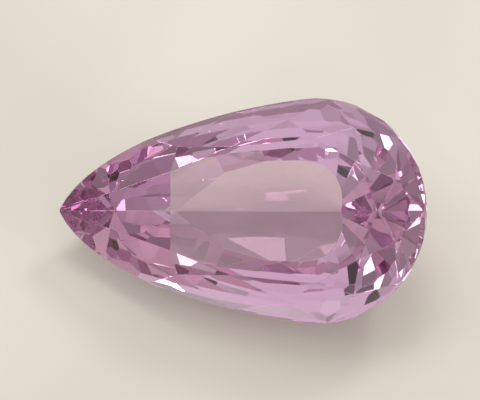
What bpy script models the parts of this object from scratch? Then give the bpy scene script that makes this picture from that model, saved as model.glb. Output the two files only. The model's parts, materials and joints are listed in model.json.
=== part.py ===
"""Pear-cut kunzite gemstone lying on its pavilion, for Blender 4.5, in metres with +Z up.

The stone is cut as a lapidary cuts one: a blank is trimmed by one plane for each facet, first in the
stone's own axes, in millimetres: x along the length with the tip at -x, y across, z up out of the
table, and the origin at the centre of the round end, halfway up the girdle. It is then laid down on
one pavilion facet, the way a loose stone comes to rest.
"""

import math

import bmesh
import bpy
from mathutils import Matrix, Vector

NODE = "kunzite"
METRES_PER_MM = 0.001

# Outline of the girdle, in millimetres
ROUND_RADIUS = 6.75
TIP_REACH = 16.2
NOSE_HANDLE_BACK = 0.10
NOSE_HANDLE_OUT = 0.67
SIDE_HANDLE = 0.15
GIRDLE_THICKNESS = 0.68
GIRDLE_FACETS_PER_SIDE = 32

# Crown, in millimetres and degrees
CROWN_HEIGHT = 1.87
TABLE_TIP_CORNER = (-8.50, 2.37)
SHOULDER_X = -10.45
MAIN_FACETS = ((103.0, 41.0), (83.0, 38.0), (40.0, 38.0), (0.0, 38.0))
STAR_DROP = 0.38

# Pavilion: each tier starts at an inset from the girdle, as a share of the half width there, and
# slopes in degrees. Its facets stand along the half outline, counted back from the round end in steps
# of a pitch in millimetres, from an offset in steps as far as a station: 0 is the tip, 1 the round end.
TIERS = (
    {"inset": 0.0, "slope": 53.6, "pitch_at_tip": 3.2, "offset": 0.53, "until": 0.0},
    {"inset": 0.23, "slope": 48.5, "pitch_at_tip": 3.2, "offset": 0.0, "until": 0.0},
    {"inset": 0.44, "slope": 38.8, "pitch_at_tip": 3.7, "offset": 0.72, "until": 0.21},
)
PITCH_ROUND_END = 2.06
PITCH_KNEE = 0.6
KEEL_DEPTH = 6.10
KEEL_SLOPE = 30.7
KEEL_TURN = 18.2

OUTLINE_STEPS = 400
NORMAL_STEP = 0.003
MERGE_MM = 0.004

GIRDLE_TOP = GIRDLE_THICKNESS / 2
GIRDLE_BOTTOM = -GIRDLE_THICKNESS / 2
TABLE_HEIGHT = GIRDLE_TOP + CROWN_HEIGHT


def clear_scene():
    """Remove every object that the file starts with."""
    for obj in list(bpy.data.objects):
        bpy.data.objects.remove(obj, do_unlink=True)


def bezier(start, handle_a, handle_b, end, t):
    """Return the point at t on a cubic curve."""
    u = 1.0 - t
    return start * u**3 + handle_a * (3 * u * u * t) + handle_b * (3 * u * t * t) + end * t**3


def half_outline():
    """Return points along the girdle's +y half, from the tip round to the far end."""
    start = Vector((-TIP_REACH, 0.0))
    nose = Vector((-TIP_REACH * (1 - NOSE_HANDLE_BACK), ROUND_RADIUS * NOSE_HANDLE_OUT))
    side = Vector((-TIP_REACH * SIDE_HANDLE, ROUND_RADIUS))
    shoulder = Vector((0.0, ROUND_RADIUS))
    points = [bezier(start, nose, side, shoulder, i / OUTLINE_STEPS) for i in range(OUTLINE_STEPS)]
    for i in range(OUTLINE_STEPS + 1):
        angle = math.radians(90 - 90 * i / OUTLINE_STEPS)
        points.append(Vector((ROUND_RADIUS * math.cos(angle), ROUND_RADIUS * math.sin(angle))))
    return points


OUTLINE = half_outline()
RUN = [0.0]
for before, after in zip(OUTLINE, OUTLINE[1:]):
    RUN.append(RUN[-1] + (after - before).length)


def outline_at(station):
    """Return the outline's point at a station, 0 at the tip and 1 at the round end."""
    goal = min(max(station, 0.0), 1.0) * RUN[-1]
    i = next(k for k, run in enumerate(RUN[1:], 1) if run >= goal)
    share = (goal - RUN[i - 1]) / (RUN[i] - RUN[i - 1])
    return OUTLINE[i - 1].lerp(OUTLINE[i], share)


def outline_azimuth(station):
    """Return the direction in degrees that the outline faces at a station."""
    if station >= 1.0:
        return 0.0
    along = outline_at(station + NORMAL_STEP) - outline_at(station - NORMAL_STEP)
    return math.degrees(math.atan2(along.x, -along.y))


def support_point(azimuth):
    """Return the outline's point that lies furthest toward an azimuth."""
    toward = Vector((math.cos(math.radians(azimuth)), math.sin(math.radians(azimuth))))
    return max(OUTLINE, key=lambda point: point.dot(toward))


def facet(azimuth, slope, point, up=1.0):
    """Return a facet plane: a point on it, and its outward normal."""
    a, s = math.radians(azimuth), math.radians(slope)
    return point, Vector((math.sin(s) * math.cos(a), math.sin(s) * math.sin(a), up * math.cos(s)))


def facet_through(a, b, c):
    """Return the facet plane through three points, facing away from the stone's middle."""
    normal = (b - a).cross(c - a).normalized()
    if normal.dot(a) < 0:
        normal.negate()
    return a, normal


def mirrored(plane):
    """Return the same facet on the other side of the long axis."""
    point, normal = plane
    return Vector((point.x, -point.y, point.z)), Vector((normal.x, -normal.y, normal.z))


def both_sides(plane):
    """Return a facet and its twin across the long axis."""
    return [plane, mirrored(plane)]


def meet(plane_a, plane_b, height):
    """Return the point at a height where two facets meet."""
    rows = [plane_a[1], plane_b[1], Vector((0, 0, 1))]
    sides = [plane_a[1].dot(plane_a[0]), plane_b[1].dot(plane_b[0]), height]
    return Matrix(rows).inverted() @ Vector(sides)


def crown_facets():
    """Return the table, the tip facet, and the main, star and break facets of the crown."""
    tip = Vector((-TIP_REACH, 0.0, GIRDLE_TOP))
    corner = Vector((*TABLE_TIP_CORNER, TABLE_HEIGHT))
    shoulder = min(OUTLINE, key=lambda point: abs(point.x - SHOULDER_X)).to_3d()
    shoulder.z = GIRDLE_TOP
    mains = [facet_through(corner, tip, shoulder)]
    table_corners = [corner]
    girdle_meets = [shoulder]
    for azimuth, slope in MAIN_FACETS:
        foot = support_point(azimuth).to_3d()
        foot.z = GIRDLE_TOP
        a = math.radians(azimuth)
        run = CROWN_HEIGHT / math.tan(math.radians(slope))
        mains.append(facet(azimuth, slope, foot))
        table_corners.append(foot + Vector((-run * math.cos(a), -run * math.sin(a), CROWN_HEIGHT)))
        girdle_meets.append(foot)
    planes = [(Vector((0, 0, TABLE_HEIGHT)), Vector((0, 0, 1)))]
    planes.append(facet_through(corner, Vector((corner.x, -corner.y, corner.z)), tip))
    star_height = TABLE_HEIGHT - STAR_DROP * CROWN_HEIGHT
    for i, main in enumerate(mains):
        planes += both_sides(main)
        if i + 1 < len(mains):
            apex = meet(main, mains[i + 1], star_height)
            planes += both_sides(facet_through(table_corners[i], table_corners[i + 1], apex))
            planes += both_sides(facet_through(girdle_meets[i], girdle_meets[i + 1], apex))
    return planes


def girdle_facets():
    """Return the upright facets that the girdle is ground to, with a narrow one across the tip."""
    planes = [facet(180.0, 90.0, Vector((-TIP_REACH, 0, 0)))]
    for i in range(GIRDLE_FACETS_PER_SIDE):
        station = (i + 0.5) / GIRDLE_FACETS_PER_SIDE
        planes += both_sides(facet(outline_azimuth(station), 90.0, outline_at(station).to_3d()))
    return planes


def station_of(tier, steps):
    """Return the station a number of steps back from the round end, as the pitch grows to the tip."""
    station = 1.0 - steps * PITCH_ROUND_END / RUN[-1]
    if station >= PITCH_KNEE:
        return station
    past_knee = steps - (1.0 - PITCH_KNEE) * RUN[-1] / PITCH_ROUND_END
    widening = tier["pitch_at_tip"] - PITCH_ROUND_END
    pitch = PITCH_ROUND_END * math.exp(past_knee * widening / (PITCH_KNEE * RUN[-1]))
    return PITCH_KNEE * (tier["pitch_at_tip"] - pitch) / widening


def tier_facet(number, steps):
    """Return a tier's facet at a number of steps from the round end, toward +y."""
    tier = TIERS[number]
    station = station_of(tier, steps)
    azimuth = outline_azimuth(station)
    a = math.radians(azimuth)
    point = outline_at(station).to_3d()
    half_width = point.y if point.x < 0 else ROUND_RADIUS
    for above, below in zip(TIERS[:number], TIERS[1 : number + 1]):
        strip = (below["inset"] - above["inset"]) * half_width
        fall = strip * math.tan(math.radians(above["slope"]))
        point -= Vector((strip * math.cos(a), strip * math.sin(a), fall))
    point.z += GIRDLE_BOTTOM
    return facet(azimuth, tier["slope"], point, up=-1.0)


def keel_facet():
    """Return the shallow facet on the +y side that meets its twin along the keel."""
    keel = Vector((0, 0, GIRDLE_BOTTOM - KEEL_DEPTH))
    return facet(90.0 + KEEL_TURN, KEEL_SLOPE, keel, up=-1.0)


def pavilion_facets():
    """Return all the pavilion's facets."""
    planes = []
    for number, tier in enumerate(TIERS):
        steps = tier["offset"]
        while station_of(tier, steps) > max(tier["until"], NORMAL_STEP):
            plane = tier_facet(number, steps)
            planes += both_sides(plane) if steps else [plane]
            steps += 1.0
    return planes + both_sides(keel_facet())


def cut_stone(planes):
    """Cut a block down to the stone with one plane for each facet."""
    bm = bmesh.new()
    bmesh.ops.create_cube(bm, size=4 * TIP_REACH)
    for point, normal in planes:
        geometry = bm.verts[:] + bm.edges[:] + bm.faces[:]
        cut = bmesh.ops.bisect_plane(
            bm, geom=geometry, dist=1e-6, plane_co=point, plane_no=normal, clear_outer=True
        )
        rim = [item for item in cut["geom_cut"] if isinstance(item, bmesh.types.BMEdge)]
        if len(rim) > 2:
            bmesh.ops.edgenet_fill(bm, edges=rim)
    bmesh.ops.remove_doubles(bm, verts=bm.verts[:], dist=MERGE_MM)
    bmesh.ops.dissolve_degenerate(bm, edges=bm.edges[:], dist=MERGE_MM)
    bmesh.ops.recalc_face_normals(bm, faces=bm.faces[:])
    return bm


def lay_down(bm):
    """Turn the stone onto its keel facet toward -y, long axis over +X, and centre it."""
    normal = mirrored(keel_facet())[1]
    turn = normal.rotation_difference(Vector((0, 0, -1))).to_matrix()
    long_axis = turn @ Vector((1, 0, 0))
    heading = Matrix.Rotation(-math.atan2(long_axis.y, long_axis.x), 3, "Z")
    bmesh.ops.rotate(bm, verts=bm.verts[:], cent=(0, 0, 0), matrix=heading @ turn)
    low = Vector([min(vert.co[k] for vert in bm.verts) for k in range(3)])
    high = Vector([max(vert.co[k] for vert in bm.verts) for k in range(3)])
    centre = Vector(((low.x + high.x) / 2, (low.y + high.y) / 2, low.z))
    bmesh.ops.translate(bm, verts=bm.verts[:], vec=-centre)
    bmesh.ops.scale(bm, verts=bm.verts[:], vec=(METRES_PER_MM,) * 3)


def crystal_material():
    """Return the pale pink, clear crystal."""
    material = bpy.data.materials.new("clear_pink_kunzite")
    material.use_nodes = True
    shader = material.node_tree.nodes["Principled BSDF"]
    shader.inputs["Base Color"].default_value = (0.78, 0.50, 0.66, 1.0)
    shader.inputs["Roughness"].default_value = 0.02
    shader.inputs["Metallic"].default_value = 0.0
    shader.inputs["IOR"].default_value = 1.67
    shader.inputs["Transmission Weight"].default_value = 1.0
    return material


def build_kunzite():
    """Cut the stone, lay it down and link it to the scene."""
    bm = cut_stone(crown_facets() + girdle_facets() + pavilion_facets())
    lay_down(bm)
    mesh = bpy.data.meshes.new(NODE)
    bm.to_mesh(mesh)
    bm.free()
    mesh.materials.append(crystal_material())
    stone = bpy.data.objects.new(NODE, mesh)
    bpy.context.collection.objects.link(stone)
    return stone


def main():
    """Build the part."""
    clear_scene()
    build_kunzite()


main()
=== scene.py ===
"""Looks of a pear-cut kunzite gemstone that lies on its pavilion, for Blender 4.5.

Lengths in the sizes below are in millimetres, and angles in degrees. The axes are the part's: +X
runs along the stone from its tip to its round end, and +Z up from the cloth.
"""

import json
import logging
import math
from dataclasses import dataclass, field
from enum import Enum
from typing import Any

import bmesh
import bpy
from mathutils import Matrix, Vector


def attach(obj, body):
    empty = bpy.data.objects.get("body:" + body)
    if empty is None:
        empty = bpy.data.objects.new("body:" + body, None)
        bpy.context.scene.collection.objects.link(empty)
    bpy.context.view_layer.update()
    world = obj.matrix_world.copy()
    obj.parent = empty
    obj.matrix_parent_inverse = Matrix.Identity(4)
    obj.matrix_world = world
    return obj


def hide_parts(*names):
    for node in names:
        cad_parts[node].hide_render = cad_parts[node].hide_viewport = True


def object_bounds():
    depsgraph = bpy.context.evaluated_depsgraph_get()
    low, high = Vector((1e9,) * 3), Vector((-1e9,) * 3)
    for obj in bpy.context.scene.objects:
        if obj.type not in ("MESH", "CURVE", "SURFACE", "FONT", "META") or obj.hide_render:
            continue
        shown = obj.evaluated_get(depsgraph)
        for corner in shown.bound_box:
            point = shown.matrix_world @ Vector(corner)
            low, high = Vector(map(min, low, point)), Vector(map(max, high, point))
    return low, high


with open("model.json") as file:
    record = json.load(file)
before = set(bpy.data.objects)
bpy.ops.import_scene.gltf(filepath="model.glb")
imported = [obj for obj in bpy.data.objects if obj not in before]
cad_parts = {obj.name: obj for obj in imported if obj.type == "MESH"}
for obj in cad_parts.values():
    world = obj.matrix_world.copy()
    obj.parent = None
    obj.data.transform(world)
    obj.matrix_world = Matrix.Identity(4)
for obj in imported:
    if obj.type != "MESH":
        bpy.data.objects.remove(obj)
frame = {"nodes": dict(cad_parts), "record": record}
CAD_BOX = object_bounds()

NODE = "kunzite"
BODY = "root"
METRES_PER_MM = 0.001

TRANSMITTED_BOUNCES = 24
MIRRORED_BOUNCES = 16

log = logging.getLogger("kunzite")

Colour = tuple[float, float, float]


class FaceMark(Enum):
    """A value that each face of the stone carries to its material."""

    GROUND = "ground"
    WORN = "worn"
    LAP_ANGLE = "lap_angle"


class Wire:
    """An output socket whose arithmetic adds Math nodes."""

    def __init__(self, bench: "NodeBench", socket: bpy.types.NodeSocket) -> None:
        """Keep the socket and the bench that it was made on."""
        self.bench = bench
        self.socket = socket

    def math(self, operation: str, first: Any, second: Any = 0.0) -> "Wire":
        """Add a Math node.

        Args:
            operation: The node's operation.
            first: Its first value, a number or a wire.
            second: Its second value, a number or a wire.

        Returns:
            The node's result.
        """
        return self.bench.add("ShaderNodeMath", {"operation": operation}, {0: first, 1: second})

    def __add__(self, other: Any) -> "Wire":
        """Return this plus a value."""
        return self.math("ADD", self, other)

    def __radd__(self, other: Any) -> "Wire":
        """Return a value plus this."""
        return self.math("ADD", other, self)

    def __mul__(self, other: Any) -> "Wire":
        """Return this times a value."""
        return self.math("MULTIPLY", self, other)

    def __rmul__(self, other: Any) -> "Wire":
        """Return a value times this."""
        return self.math("MULTIPLY", other, self)

    def sine(self) -> "Wire":
        """Return the sine of this."""
        return self.math("SINE", self)

    def cosine(self) -> "Wire":
        """Return the cosine of this."""
        return self.math("COSINE", self)

    def above(self, edge: float, width: float) -> "Wire":
        """Return a mask that rises from 0 to 1 across an edge.

        Args:
            edge: The value at which the mask starts to rise.
            width: How far above the edge it reaches 1.

        Returns:
            The mask.
        """
        values = {"Value": self, "From Min": edge, "From Max": edge + width}
        return self.bench.add("ShaderNodeMapRange", {"interpolation_type": "SMOOTHSTEP"}, values)

    def sibling(self, output: str) -> "Wire":
        """Return another output of the same node."""
        return Wire(self.bench, self.socket.node.outputs[output])

    def feed(self, node: bpy.types.Node, name: str) -> None:
        """Link this to a node's input socket."""
        self.bench.tree.links.new(self.socket, node.inputs[name])


class NodeBench:
    """Adds nodes to one node tree."""

    def __init__(self, tree: bpy.types.NodeTree) -> None:
        """Start on a tree."""
        self.tree = tree

    def add(
        self,
        kind: str,
        settings: dict[str, Any] | None = None,
        values: dict[str | int, Any] | None = None,
        output: str | int = 0,
    ) -> Wire:
        """Add a node.

        Args:
            kind: The node's type.
            settings: Its properties, set before its sockets.
            values: Numbers, colours or wires for its input sockets, by name or place.
            output: The name or place of the output that is wanted.

        Returns:
            That output.
        """
        node = self.tree.nodes.new(kind)
        for name, setting in (settings or {}).items():
            setattr(node, name, setting)
        for name, value in (values or {}).items():
            socket = node.inputs[name]
            if isinstance(value, Wire):
                self.tree.links.new(value.socket, socket)
            else:
                socket.default_value = value
        return Wire(self, node.outputs[output])

    def mix_colour(self, share: Any, first: Any, second: Any) -> Wire:
        """Blend two colours.

        Args:
            share: How much of the second colour shows.
            first: The colour at 0.
            second: The colour at 1.

        Returns:
            The blended colour.
        """
        # The node has sockets of the same names for each kind of data, so these go by place.
        settings = {"data_type": "RGBA"}
        return self.add("ShaderNodeMix", settings, {0: share, 6: first, 7: second}, output=2)

    def place_in_mm(self) -> Wire:
        """Return the place on the object in millimetres."""
        place = self.add("ShaderNodeTexCoord", output="Object")
        return self.add("ShaderNodeMapping", values={"Vector": place, "Scale": (1 / METRES_PER_MM,) * 3})

    def mark(self, mark: FaceMark) -> Wire:
        """Return the value that a face carries."""
        return self.add("ShaderNodeAttribute", {"attribute_name": mark.value}, output="Fac")


def opaque(colour: Colour) -> tuple[float, float, float, float]:
    """Return a colour with a full alpha."""
    return (*colour, 1.0)


def direction(azimuth: float, elevation: float) -> Vector:
    """Work out where something is seen from the stone.

    Args:
        azimuth: Its turn from +X toward +Y.
        elevation: How far it stands above the floor.

    Returns:
        The unit vector toward it.
    """
    turn, rise = math.radians(azimuth), math.radians(elevation)
    level = math.cos(rise)
    return Vector((math.cos(turn) * level, math.sin(turn) * level, math.sin(rise)))


@dataclass(frozen=True)
class Mottle:
    """A cloudy pattern, with the edge where its mask starts and the rise to where it is full."""

    size: float
    detail: float
    roughness: float = 0.5
    edge: float = 0.0
    rise: float = 1.0

    def value(self, place: Wire) -> Wire:
        """Return the pattern.

        Args:
            place: The place to look it up at, in millimetres.

        Returns:
            Its value, from 0 to 1.
        """
        values = {
            "Vector": place,
            "Scale": 1 / self.size,
            "Detail": self.detail,
            "Roughness": self.roughness,
        }
        return place.bench.add("ShaderNodeTexNoise", values=values)

    def mask(self, place: Wire) -> Wire:
        """Return a mask of the pattern's higher parts at a place in millimetres."""
        return self.value(place).above(self.edge, self.rise)


@dataclass(frozen=True)
class KunziteFinish:
    """Clear pink kunzite: polished facets, a finely ground girdle and slightly worn facet edges."""

    index: float = 1.67
    body_tint: Colour = (0.99, 0.965, 0.98)
    zoned_tint: Colour = (0.98, 0.93, 0.97)
    zoning: Mottle = Mottle(size=5.0, detail=1.0, edge=0.35, rise=0.3)
    # The crystal takes up one less this colour, times the rate below.
    passed_colour: Colour = (0.69, 0.28, 0.60)
    absorption_per_metre: float = 60.0
    smears: Mottle = Mottle(size=2.4, detail=4.0, roughness=0.6, edge=0.52, rise=0.2)
    smear_roughness: float = 0.006
    lap_line: float = 0.05
    lap_roughness: float = 0.002
    ground_roughness: float = 0.01
    worn_roughness: float = 0.10
    grain: Mottle = Mottle(size=0.16, detail=3.0, roughness=0.6)
    grain_depth: float = 0.0002
    grain_strength: float = 0.5

    def __call__(self, name: str) -> bpy.types.Material:
        """Build the material.

        Args:
            name: The material's name.

        Returns:
            The material.
        """
        material = bpy.data.materials.new(name)
        material.use_nodes = True
        tree = material.node_tree
        bench = NodeBench(tree)
        place = bench.place_in_mm()
        shader = tree.nodes["Principled BSDF"]
        shader.inputs["IOR"].default_value = self.index
        shader.inputs["Transmission Weight"].default_value = 1.0
        self._tint(place).feed(shader, "Base Color")
        self._roughness(place).feed(shader, "Roughness")
        self._grain_normal(place).feed(shader, "Normal")
        absorption = bench.add(
            "ShaderNodeVolumeAbsorption",
            values={"Color": opaque(self.passed_colour), "Density": self.absorption_per_metre},
        )
        absorption.feed(tree.nodes["Material Output"], "Volume")
        return material

    def _tint(self, place: Wire) -> Wire:
        """Return the crystal's faint colour zoning.

        Args:
            place: The place on the stone in millimetres.

        Returns:
            The colour.
        """
        zoned = self.zoning.mask(place)
        return place.bench.mix_colour(zoned, opaque(self.body_tint), opaque(self.zoned_tint))

    def _roughness(self, place: Wire) -> Wire:
        """Return the roughness of the smeared facets with their lap lines, the girdle and the edges.

        Args:
            place: The place on the stone in millimetres.

        Returns:
            The roughness.
        """
        bench = place.bench
        angle = bench.mark(FaceMark.LAP_ANGLE)
        axes = bench.add("ShaderNodeSeparateXYZ", values={"Vector": place})
        across_lines = axes.sibling("X") * angle.cosine() + axes.sibling("Y") * angle.sine()
        lap_lines = (across_lines * (math.tau / self.lap_line)).sine() * 0.5 + 0.5
        polished = self.smears.mask(place) * self.smear_roughness + lap_lines * self.lap_roughness
        ground = bench.mark(FaceMark.GROUND) * self.ground_roughness
        worn = bench.mark(FaceMark.WORN) * self.worn_roughness
        return polished + ground + worn

    def _grain_normal(self, place: Wire) -> Wire:
        """Return the fine grain of the girdle and of the worn edges.

        Args:
            place: The place on the stone in millimetres.

        Returns:
            The bumped normal.
        """
        bench = place.bench
        grainy = bench.mark(FaceMark.GROUND) + bench.mark(FaceMark.WORN)
        values = {
            "Strength": self.grain_strength,
            "Distance": self.grain_depth * METRES_PER_MM,
            "Height": self.grain.value(place) * grainy,
        }
        return bench.add("ShaderNodeBump", values=values)


@dataclass(frozen=True)
class ClothFinish:
    """Plain pale cream cloth for the floor."""

    pale: Colour = (0.76, 0.72, 0.645)
    deep: Colour = (0.66, 0.62, 0.545)
    patches: Mottle = Mottle(size=30.0, detail=2.0, edge=0.3, rise=0.4)
    roughness: float = 0.9

    def __call__(self, name: str) -> bpy.types.Material:
        """Build the material.

        Args:
            name: The material's name.

        Returns:
            The material.
        """
        material = bpy.data.materials.new(name)
        material.use_nodes = True
        bench = NodeBench(material.node_tree)
        shader = material.node_tree.nodes["Principled BSDF"]
        shader.inputs["Roughness"].default_value = self.roughness
        patched = self.patches.mask(bench.place_in_mm())
        bench.mix_colour(patched, opaque(self.pale), opaque(self.deep)).feed(shader, "Base Color")
        return material


def add_piece(bm: bmesh.types.BMesh, name: str, material: bpy.types.Material) -> bpy.types.Object:
    """Turn a finished bmesh in millimetres into a piece of the scene, and free it.

    Args:
        bm: The piece's shape.
        name: The piece's name.
        material: Its material.

    Returns:
        The piece's object.
    """
    bmesh.ops.scale(bm, verts=bm.verts[:], vec=(METRES_PER_MM,) * 3)
    mesh = bpy.data.meshes.new(name)
    bm.to_mesh(mesh)
    bm.free()
    mesh.materials.append(material)
    piece = bpy.data.objects.new(name, mesh)
    bpy.context.collection.objects.link(piece)
    return piece


@dataclass
class CutStone:
    """The gemstone: the solid's facets, with their edges worn to hairline flats."""

    edge_width: float = 0.03
    least_edge: float = 0.06
    least_turn: float = 1.5
    merge: float = 0.002
    on_cut: float = 1e-6
    same_facet: float = 0.15
    girdle_lean: float = 11.5
    finish: KunziteFinish = field(default_factory=KunziteFinish)

    def build(self) -> bpy.types.Object:
        """Make the stone and dress it.

        Returns:
            The stone's object, which stands for the solid.
        """
        bm = self._facets()
        self._mark_facets(bm)
        self._wear_edges(bm)
        self._shade(bm)
        stone = add_piece(bm, "cut_kunzite", self.finish("clear_pink_kunzite"))
        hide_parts(NODE)
        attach(stone, BODY)
        return stone

    def _facets(self) -> bmesh.types.BMesh:
        """Merge a copy of the solid's triangles into facets.

        Returns:
            The stone with one face for each facet, in millimetres.
        """
        bm = bmesh.new()
        bm.from_mesh(frame["nodes"][NODE].data)
        bmesh.ops.scale(bm, verts=bm.verts[:], vec=(1 / METRES_PER_MM,) * 3)
        bmesh.ops.remove_doubles(bm, verts=bm.verts[:], dist=self.merge)
        bmesh.ops.dissolve_limit(
            bm,
            angle_limit=math.radians(self.same_facet),
            verts=bm.verts[:],
            edges=bm.edges[:],
        )
        bm.normal_update()
        return bm

    def _table_axis(self) -> Vector:
        """Return the direction that the table faces."""
        mounts = {mount["name"]: mount for mount in frame["record"]["mounts"]}
        return Vector(mounts["table"]["axis"]).normalized()

    def _on_girdle(self, facet: bmesh.types.BMFace) -> bool:
        """Return whether a facet faces square to the table's direction, as the girdle's do."""
        lean = abs(facet.normal.dot(self._table_axis()))
        return lean < math.sin(math.radians(self.girdle_lean))

    def _mark_facets(self, bm: bmesh.types.BMesh) -> None:
        """Give each facet its marks.

        Args:
            bm: The stone.
        """
        layers = {mark: bm.faces.layers.float.new(mark.value) for mark in FaceMark}
        for face in bm.faces:
            face[layers[FaceMark.GROUND]] = float(self._on_girdle(face))
            face[layers[FaceMark.LAP_ANGLE]] = math.atan2(face.normal.y, face.normal.x)

    def _hairline_cuts(self, bm: bmesh.types.BMesh) -> list[tuple[Vector, Vector]]:
        """Place a cut across each facet edge, square to the line that halves its angle.

        The girdle's own edges get none, nor do edges that are very short or nearly flat.

        Args:
            bm: The stone.

        Returns:
            A point on each cut and the direction that the cut faces.
        """
        cuts = []
        for edge in bm.edges:
            first, second = edge.link_faces
            turn = first.normal.angle(second.normal)
            girdle = self._on_girdle(first) and self._on_girdle(second)
            if girdle or edge.calc_length() < self.least_edge or turn < math.radians(self.least_turn):
                continue
            normal = (first.normal + second.normal).normalized()
            middle = (edge.verts[0].co + edge.verts[1].co) / 2
            depth = self.edge_width * math.tan(turn / 2) / 2
            cuts.append((middle - normal * depth, normal))
        return cuts

    def _wear_edges(self, bm: bmesh.types.BMesh) -> None:
        """Trim a hairline flat along the facet edges.

        Args:
            bm: The stone.
        """
        worn = bm.faces.layers.float[FaceMark.WORN.value]
        for point, normal in self._hairline_cuts(bm):
            cut = bmesh.ops.bisect_plane(
                bm,
                geom=bm.verts[:] + bm.edges[:] + bm.faces[:],
                dist=self.on_cut,
                plane_co=point,
                plane_no=normal,
                clear_outer=True,
            )
            rim = [item for item in cut["geom_cut"] if isinstance(item, bmesh.types.BMEdge)]
            if len(rim) > 2:
                for face in bmesh.ops.edgenet_fill(bm, edges=rim)["faces"]:
                    face[worn] = 1.0
        bmesh.ops.remove_doubles(bm, verts=bm.verts[:], dist=self.merge)
        bmesh.ops.dissolve_degenerate(bm, edges=bm.edges[:], dist=self.merge)
        bmesh.ops.recalc_face_normals(bm, faces=bm.faces[:])
        bm.normal_update()

    def _shade(self, bm: bmesh.types.BMesh) -> None:
        """Keep the facets flat, and round the girdle.

        Args:
            bm: The stone.
        """
        ground = bm.faces.layers.float[FaceMark.GROUND.value]
        for face in bm.faces:
            face.smooth = face[ground] > 0.5
        for edge in bm.edges:
            edge.smooth = all(face.smooth for face in edge.link_faces)


@dataclass
class Floor:
    """The pale cloth that the stone lies on."""

    reach: float = 900.0
    gap: float = 0.02
    finish: ClothFinish = field(default_factory=ClothFinish)

    def build(self) -> bpy.types.Object:
        """Make the floor.

        Returns:
            The floor's object.
        """
        bm = bmesh.new()
        bmesh.ops.create_grid(bm, x_segments=1, y_segments=1, size=self.reach)
        bmesh.ops.translate(bm, verts=bm.verts[:], vec=(0, 0, -self.gap))
        floor = add_piece(bm, "pale_floor", self.finish("pale_cloth"))
        return floor


@dataclass(frozen=True)
class SoftBox:
    """A rectangle of soft light that faces the stone, its width and height as seen from there."""

    name: str
    azimuth: float
    elevation: float
    wide: float
    high: float
    radiance: float
    distance: float = 400.0
    colour: Colour = (1.0, 0.985, 0.96)

    def build(self, aim: Vector) -> bpy.types.Object:
        """Hang the light.

        Args:
            aim: The point that it faces, in metres.

        Returns:
            The light's object.
        """
        away = direction(self.azimuth, self.elevation)
        light = bpy.data.lights.new(self.name, "AREA")
        light.shape = "RECTANGLE"
        reach = self.distance * METRES_PER_MM
        light.size = 2 * reach * math.tan(math.radians(self.wide / 2))
        light.size_y = 2 * reach * math.tan(math.radians(self.high / 2))
        light.energy = self.radiance * math.pi * light.size * light.size_y
        light.color = self.colour
        lamp = bpy.data.objects.new(self.name, light)
        lamp.location = aim + away * reach
        lamp.rotation_euler = away.to_track_quat("Z", "Y").to_euler()
        bpy.context.collection.objects.link(lamp)
        return lamp


@dataclass(frozen=True)
class DarkPatch:
    """A round, soft-edged dark part of the room, which some facets mirror."""

    azimuth: float
    elevation: float
    wide: float
    colour: Colour = (0.06, 0.05, 0.05)
    edge: float = 8.0

    def mask(self, toward: Wire) -> Wire:
        """Return where the patch shows.

        Args:
            toward: The direction that is looked at.

        Returns:
            A mask, 1 inside the patch.
        """
        settings = {"operation": "DOT_PRODUCT"}
        values = {0: toward, 1: tuple(direction(self.azimuth, self.elevation))}
        facing = toward.bench.add("ShaderNodeVectorMath", settings, values, output="Value")
        outer = math.cos(math.radians(self.wide / 2))
        inner = math.cos(math.radians(self.wide / 2 - self.edge))
        return facing.above(outer, inner - outer)


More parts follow.
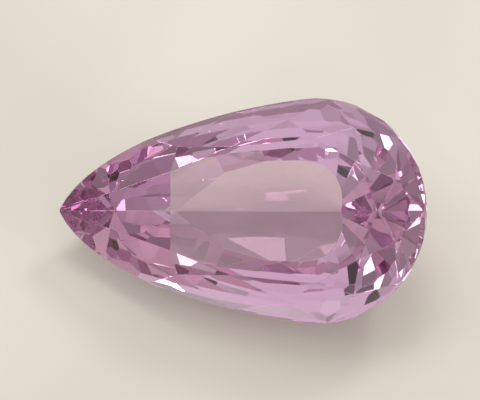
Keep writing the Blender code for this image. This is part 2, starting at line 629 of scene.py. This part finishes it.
@dataclass
class Studio:
    """Plain soft light: four soft boxes in a pale room with two dark patches."""

    low: Colour = (0.33, 0.31, 0.28)
    high: Colour = (0.90, 0.89, 0.89)
    boxes: tuple[SoftBox, ...] = (
        SoftBox("key_box", azimuth=58.0, elevation=40.0, wide=13.0, high=11.0, radiance=13.5),
        SoftBox("back_box", azimuth=100.0, elevation=62.0, wide=26.0, high=20.0, radiance=3.8),
        SoftBox("side_box", azimuth=-6.0, elevation=22.0, wide=28.0, high=15.0, radiance=2.8),
        SoftBox("tip_box", azimuth=176.0, elevation=34.0, wide=26.0, high=18.0, radiance=2.8),
    )
    patches: tuple[DarkPatch, ...] = (
        DarkPatch(azimuth=-28.0, elevation=46.0, wide=22.0),
        DarkPatch(azimuth=-153.0, elevation=44.0, wide=25.0),
    )

    def build(self, aim: Vector) -> None:
        """Light the stone.

        Args:
            aim: The middle of the stone, in metres.
        """
        self._room()
        for box in self.boxes:
            box.build(aim)

    def _room(self) -> None:
        """Make the room's light, warmer and dimmer toward the horizon."""
        world = bpy.data.worlds.new("pale_room")
        bpy.context.scene.world = world
        world.use_nodes = True
        bench = NodeBench(world.node_tree)
        toward = bench.add("ShaderNodeTexCoord", output="Generated")
        height = bench.add("ShaderNodeSeparateXYZ", values={"Vector": toward}, output="Z")
        colour = bench.mix_colour(height.above(0.0, 1.0), opaque(self.low), opaque(self.high))
        for patch in self.patches:
            colour = bench.mix_colour(patch.mask(toward), colour, opaque(patch.colour))
        colour.feed(world.node_tree.nodes["Background"], "Color")


@dataclass
class PhotoCamera:
    """The camera, at the photograph's viewing angle."""

    azimuth: float = 17.95
    elevation: float = 60.37
    roll: float = -11.18
    distance: float = 280.0
    field_width: float = 28.8
    sensor: float = 36.0
    nearest: float = 10.0
    farthest: float = 10_000.0
    aim: tuple[float, float, float] = (0.08, -0.12, 6.30)

    def build(self) -> bpy.types.Object:
        """Place the camera.

        Returns:
            The camera's object.
        """
        data = bpy.data.cameras.new("photo_camera")
        data.sensor_width = self.sensor
        data.lens = self.sensor * self.distance / self.field_width
        data.clip_start = self.nearest * METRES_PER_MM
        data.clip_end = self.farthest * METRES_PER_MM
        camera = bpy.data.objects.new("photo_camera", data)
        # The azimuth turns the camera round the stone from straight in front of it, which is -Y.
        back = direction(self.azimuth - 90.0, self.elevation)
        camera.location = (Vector(self.aim) + back * self.distance) * METRES_PER_MM
        level = back.to_track_quat("Z", "Y").to_matrix()
        rolled = level @ Matrix.Rotation(math.radians(self.roll), 3, "Z")
        camera.rotation_euler = rolled.to_euler()
        bpy.context.collection.objects.link(camera)
        bpy.context.scene.camera = camera
        return camera


def set_look() -> None:
    """Let light cross the stone until it is out, and show its colours without a film look."""
    cycles = bpy.context.scene.cycles
    cycles.max_bounces = TRANSMITTED_BOUNCES
    cycles.transmission_bounces = TRANSMITTED_BOUNCES
    cycles.glossy_bounces = MIRRORED_BOUNCES
    bpy.context.scene.view_settings.view_transform = "Standard"


def main() -> None:
    """Build the stone, its floor, the light and the camera."""
    logging.basicConfig(level=logging.INFO, format="%(name)s: %(message)s")
    for maker in (CutStone(), Floor()):
        piece = maker.build()
        log.info("%s: %d faces", piece.name, len(piece.data.polygons))
    low, high = CAD_BOX
    Studio().build((low + high) / 2)
    PhotoCamera().build()
    set_look()


if __name__ == "__main__":
    main()
